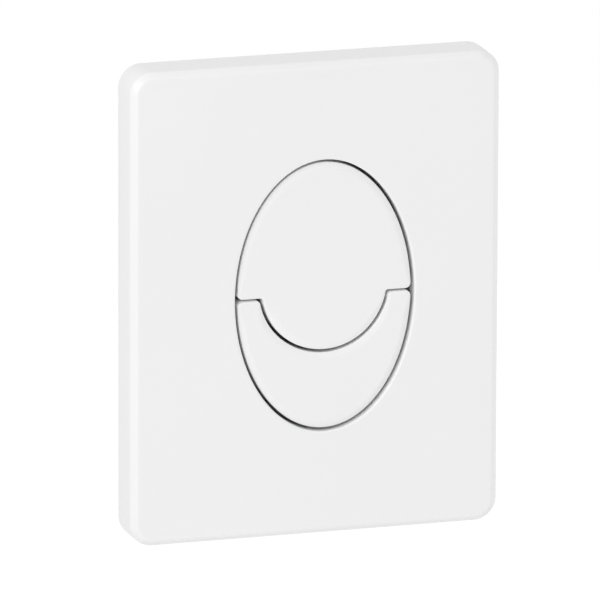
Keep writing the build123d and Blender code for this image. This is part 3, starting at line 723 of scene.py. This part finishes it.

# %% [markdown]
# ## Bellows
#
# Each air pump is a rubber bellows. Its wall is a wave turned about its axis, and the inside follows
# the outside at a wall's distance. It stands in a cup on the tray, so it rides with the plate and not with
# its button.

# %% Rubber bellows
FOLDS, WAVE_STEPS = 3, 40
CREST, TROUGH = 11.0, 8.2
RUBBER, CAP_THICK, CAP_EDGE, FOOT_THICK = 1.0, 1.6, 0.6, 1.6


def bellows_piece(name, node):
    """Wall radius is a mean less a cosine of the height, from foot to cap; the cap closes the front."""
    low, high = node_box(node)
    centre, radius = (low + high) / 2, (high - low)[0] / 2
    foot_y, cap_y = high[1] - FOOT_THICK, low[1] + CAP_THICK
    rise = np.linspace(0, 1, WAVE_STEPS)
    wave = (CREST + TROUGH) / 2 - (CREST - TROUGH) / 2 * np.cos(2 * np.pi * FOLDS * rise)
    wall_y = foot_y + (low[1] + CAP_EDGE - foot_y) * rise
    outside = [(TROUGH - RUBBER, high[1]), (radius, high[1]), (radius, foot_y)]
    outside += list(zip(wave, wall_y)) + [(TROUGH - CAP_EDGE, low[1]), (0.0, low[1])]
    behind_cap = wall_y > cap_y
    inside = [(0.0, cap_y), (TROUGH - RUBBER, cap_y)]
    inside += list(zip(wave[behind_cap] - RUBBER, wall_y[behind_cap]))[::-1]
    part = turned_part(outside + inside, centre[0], centre[2], columns=72)
    piece = add_piece(name, [part], black_rubber, "plate", [node], sharp=50.0)
    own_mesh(piece)


bellows_piece("full_flush_rubber", "full_flush_bellows")
bellows_piece("half_flush_rubber", "half_flush_bellows")

# %% [markdown]
# ## Studs and screws
#
# A smooth rod reads as a dowel, and a stud is known by its thread. The thread is one surface of two
# parameters, the turn about the axis and the way along it: the radius dips once per pitch, and the dip
# moves along by a pitch in each turn. At the ends the radius shrinks to a short cone. The screws' heads are
# low domes with a cross pressed into them, again a height over a disc.

# %% Threaded studs
STUD_RADIUS, STUD_PITCH = 3.0, 1.0
STUD_END_RADIUS, STUD_END_PITCH = 2.0, 0.7
THREAD_DEPTH, THREAD_SLOPE, THREAD_CREST = 0.61, 2.4, 0.2
ROWS_PER_PITCH = 8
STUD_LAP = 0.5


def threaded_part(x, z, y_from, y_to, radius, pitch, columns=36):
    """Radius less a thread's depth times a ramp that rises and falls once per pitch, tapered at both ends."""
    depth = THREAD_DEPTH * pitch
    rows = int((y_to - y_from) / pitch * ROWS_PER_PITCH)
    y = np.linspace(y_from, y_to, rows)[:, None]
    turn = np.linspace(0, 2 * np.pi, columns, endpoint=False)[None]
    phase = (y / pitch - turn / (2 * np.pi)) % 1.0
    dip = np.clip(np.abs(phase - 0.5) * THREAD_SLOPE - THREAD_CREST, 0, 1)
    taper = np.clip(np.minimum(y - y_from, y_to - y), 0, depth)
    reach = np.minimum(radius - depth * dip, radius - depth + taper)
    along = np.broadcast_to(y, reach.shape)
    return capped_part(np.stack([x + reach * np.cos(turn), along, z + reach * np.sin(turn)], axis=-1))


for side in ("left", "right"):
    node = f"fixing_stud_{side}"
    low, high = node_box(node)
    x, _, z = (low + high) / 2
    stud_parts = [
        threaded_part(x, z, 0.0, high[1], STUD_RADIUS, STUD_PITCH),
        threaded_part(x, z, low[1], STUD_LAP, STUD_END_RADIUS, STUD_END_PITCH),
    ]
    add_piece(f"threaded_stud_{side}", stud_parts, zinc_steel, "plate", [node], sharp=60.0)

# %% Cross-head screws
SHANK_RADIUS, DOME_FALL = 1.4, 0.7
CROSS_HALF, CROSS_FLANK, CROSS_REACH, CROSS_END, CROSS_DEPTH = 0.5, 0.15, 1.7, 0.2, 0.9


def screw_parts(low, high, rings=22, columns=72):
    """A head whose height over its disc is a low dome less a cross, on a plain shank."""
    x, _, z = (low + high) / 2
    head_radius, seat_y = (high - low)[0] / 2, high[1] - HEAD_HEIGHT
    radius = np.linspace(0, head_radius, rings)[:, None]
    turn = np.linspace(0, 2 * np.pi, columns, endpoint=False)[None]
    across, along = radius * np.cos(turn), radius * np.sin(turn)
    narrow = np.minimum(np.abs(across), np.abs(along))
    wide = np.maximum(np.abs(across), np.abs(along))
    slot = np.clip((CROSS_HALF - narrow) / CROSS_FLANK, 0, 1)
    cross = slot * np.clip((CROSS_REACH - wide) / CROSS_END, 0, 1)
    dome = HEAD_HEIGHT - DOME_FALL * (radius / head_radius) ** 2
    top = np.stack([x + across, seat_y + dome - CROSS_DEPTH * cross, z + along], axis=-1)
    rim = top[-1:].copy()
    rim[..., 1] = seat_y
    shank = [(SHANK_RADIUS, low[1]), (SHANK_RADIUS, seat_y)]
    return [capped_part(np.concatenate([top, rim])), turned_part(shank, x, z, columns=32, closed=False)]


for name, corners in screw_boxes.items():
    piece_name = name.replace("tray_screw", "cross_head_screw")
    add_piece(piece_name, screw_parts(*corners), zinc_steel, "plate", [name])

# %% [markdown]
# ## The nodes that stay
#
# The tray, the mounting frame, the pump cups, the nuts, the pins and the buffers already have their real
# shape in the CAD model, so they are kept as they are and only get their finish. The nodes that a piece
# replaces get the same finish as the piece.

# %% Finishes for the CAD nodes
finishes = {
    white_gloss: ("cover_plate", "flush_button"),
    grey_moulding: ("button_tray", "mounting_frame", "pump_cup", "stud_nut"),
    drawn_steel: ("hinge_pin",),
    zinc_steel: ("fixing_stud", "tray_screw"),
    black_rubber: ("bellows", "buffer"),
}
for material, words in finishes.items():
    matching = [node for name, node in nodes.items() if any(word in name for word in words)]
    for node in matching:
        node.data.materials.clear()
        node.data.materials.append(material)
    print(material.name, "on", len(matching), "nodes")

# %% [markdown]
# ## Stage, light and camera
#
# The plate hangs on a wall in use, but a catalogue shows it on plain white. The floor lies well below it and
# is pale. For rays that come straight from the camera, or by way of a mirror or glass, the floor and the sky
# add enough of their own to read as white, which lights nothing else. The light itself is soft and plain, as
# in a tent of white cloth: a pale sky for the even part, two large lamps at the left, which the bevels catch,
# and others from above, from the right and from below. A first mix came from rendering each one alone: light
# adds up, so the mix that comes nearest to the photograph's greys can be worked out. The lamps were then made
# larger and trimmed, because a small bright lamp clips the glossy face when it is seen from its mirror side.

# %% Floor
FLOOR_Z, FLOOR_REACH = -3.2, 12.0
FLOOR_SHADE, FLOOR_GLOW = 0.9, 0.5


def seen_directly(tree):
    """The largest of three: 1 for rays from the camera, or reflected or refracted to it, and 0 for others."""
    path = tree.nodes.new("ShaderNodeLightPath")
    seen = path.outputs["Is Camera Ray"]
    for kind in ("Is Glossy Ray", "Is Transmission Ray"):
        larger = tree.nodes.new("ShaderNodeMath")
        larger.operation = "MAXIMUM"
        tree.links.new(seen, larger.inputs[0])
        tree.links.new(path.outputs[kind], larger.inputs[1])
        seen = larger.outputs[0]
    return seen


floor_mesh = bpy.data.meshes.new("floor")
floor_corners = [(FLOOR_REACH * x, FLOOR_REACH * y, FLOOR_Z) for x, y in ((-1, -1), (1, -1), (1, 1), (-1, 1))]
floor_mesh.from_pydata(floor_corners, [], [(0, 1, 2, 3)])
floor = bpy.data.objects.new("floor", floor_mesh)
bpy.context.scene.collection.objects.link(floor)
paper = bpy.data.materials.new("pale_floor")
paper.use_nodes = True
tree = paper.node_tree
tree.nodes.clear()
diffuse = tree.nodes.new("ShaderNodeBsdfDiffuse")
diffuse.inputs["Color"].default_value = (FLOOR_SHADE, FLOOR_SHADE, FLOOR_SHADE, 1)
glow = tree.nodes.new("ShaderNodeEmission")
tree.links.new(seen_directly(tree), glow.inputs["Strength"])
glow.inputs["Color"].default_value = (FLOOR_GLOW, FLOOR_GLOW, FLOOR_GLOW, 1)
total = tree.nodes.new("ShaderNodeAddShader")
tree.links.new(diffuse.outputs[0], total.inputs[0])
tree.links.new(glow.outputs[0], total.inputs[1])
output = tree.nodes.new("ShaderNodeOutputMaterial")
tree.links.new(total.outputs[0], output.inputs["Surface"])
floor_mesh.materials.append(paper)
print("floor at", FLOOR_Z, "m")

# %% Sky
SKY = 0.6
world = bpy.data.worlds.new("soft_sky")
bpy.context.scene.world = world
world.use_nodes = True
tree = world.node_tree
tree.nodes.clear()
sky = tree.nodes.new("ShaderNodeBackground")
sky.inputs["Strength"].default_value = SKY
white = tree.nodes.new("ShaderNodeBackground")
white.inputs["Strength"].default_value = 1.0
for background in (sky, white):
    background.inputs["Color"].default_value = (1, 1, 1, 1)
choose = tree.nodes.new("ShaderNodeMixShader")
tree.links.new(seen_directly(tree), choose.inputs[0])
tree.links.new(sky.outputs[0], choose.inputs[1])
tree.links.new(white.outputs[0], choose.inputs[2])
output = tree.nodes.new("ShaderNodeOutputWorld")
tree.links.new(choose.outputs[0], output.inputs["Surface"])
print("sky of strength", SKY)


# %% Lamps
def lamp(name, place, size, watts):
    """A square soft lamp that looks at the plate."""
    light = bpy.data.lights.new(name, "AREA")
    light.shape = "SQUARE"
    light.size = size
    light.energy = watts
    holder = bpy.data.objects.new(name, light)
    bpy.context.scene.collection.objects.link(holder)
    back = np.array(place) / np.linalg.norm(place)
    side = np.cross((0, 0, 1), back)
    side /= np.linalg.norm(side)
    turn = np.eye(4)
    turn[:3, 0], turn[:3, 1], turn[:3, 2], turn[:3, 3] = side, np.cross(back, side), back, place
    holder.matrix_world = Matrix(turn.tolist())


lamp("key_left", (-1.6, -1.45, 1.0), 2.0, 22.5)
lamp("side_left", (-2.16, -0.79, 0.0), 3.0, 8.0)
lamp("top", (0.0, -1.15, 2.0), 2.4, 8.0)
lamp("right_side", (2.29, -0.2, 0.0), 3.0, 14.0)
lamp("low", (0.1, -1.1, -1.7), 3.0, 14.0)

# %% [markdown]
# The photograph was taken from far away with a long lens, a little from the left and from above. The camera's
# angle, distance and lens were found by laying the plate's known corners over the picture. The picture's
# middle lies a few millimetres beside the plate's, so the camera stands off by that much, and its frame is
# turned by a hair.

# %% Camera
AZIMUTH, ELEVATION, ROLL = np.radians((-17.31, 14.28, 0.2))
FOCAL_PIXELS, PICTURE_PIXELS = 12000.0, 600.0
PIXELS_PER_MM = 2.4782
FACE_PIXEL = np.array([316.3, 299.5])
level_back = np.array([np.sin(AZIMUTH), -np.cos(AZIMUTH), 0.0])
back = level_back * np.cos(ELEVATION) + np.array([0.0, 0.0, np.sin(ELEVATION)])
right = np.array([np.cos(AZIMUTH), np.sin(AZIMUTH), 0.0])
up = np.cross(back, right)
off = (FACE_PIXEL - PICTURE_PIXELS / 2) / PIXELS_PER_MM
face = np.array([0.0, FRONT_Y, 0.0])
aim = face - off[0] * right + off[1] * up
place = aim + back * FOCAL_PIXELS / PIXELS_PER_MM
view_right = right * np.cos(ROLL) + up * np.sin(ROLL)
view_up = up * np.cos(ROLL) - right * np.sin(ROLL)
pose = np.eye(4)
pose[:3, 0], pose[:3, 1], pose[:3, 2], pose[:3, 3] = view_right, view_up, back, place * MM
camera_data = bpy.data.cameras.new("camera")
camera_data.sensor_width = 36.0
camera_data.lens = camera_data.sensor_width * FOCAL_PIXELS / PICTURE_PIXELS
camera_data.clip_end = 100.0
camera = bpy.data.objects.new("camera", camera_data)
camera.matrix_world = Matrix(pose.tolist())
bpy.context.scene.collection.objects.link(camera)
bpy.context.scene.camera = camera
bpy.context.scene.view_settings.view_transform = "Standard"
print("lens", camera_data.lens, "camera at", (place * MM).round(3))
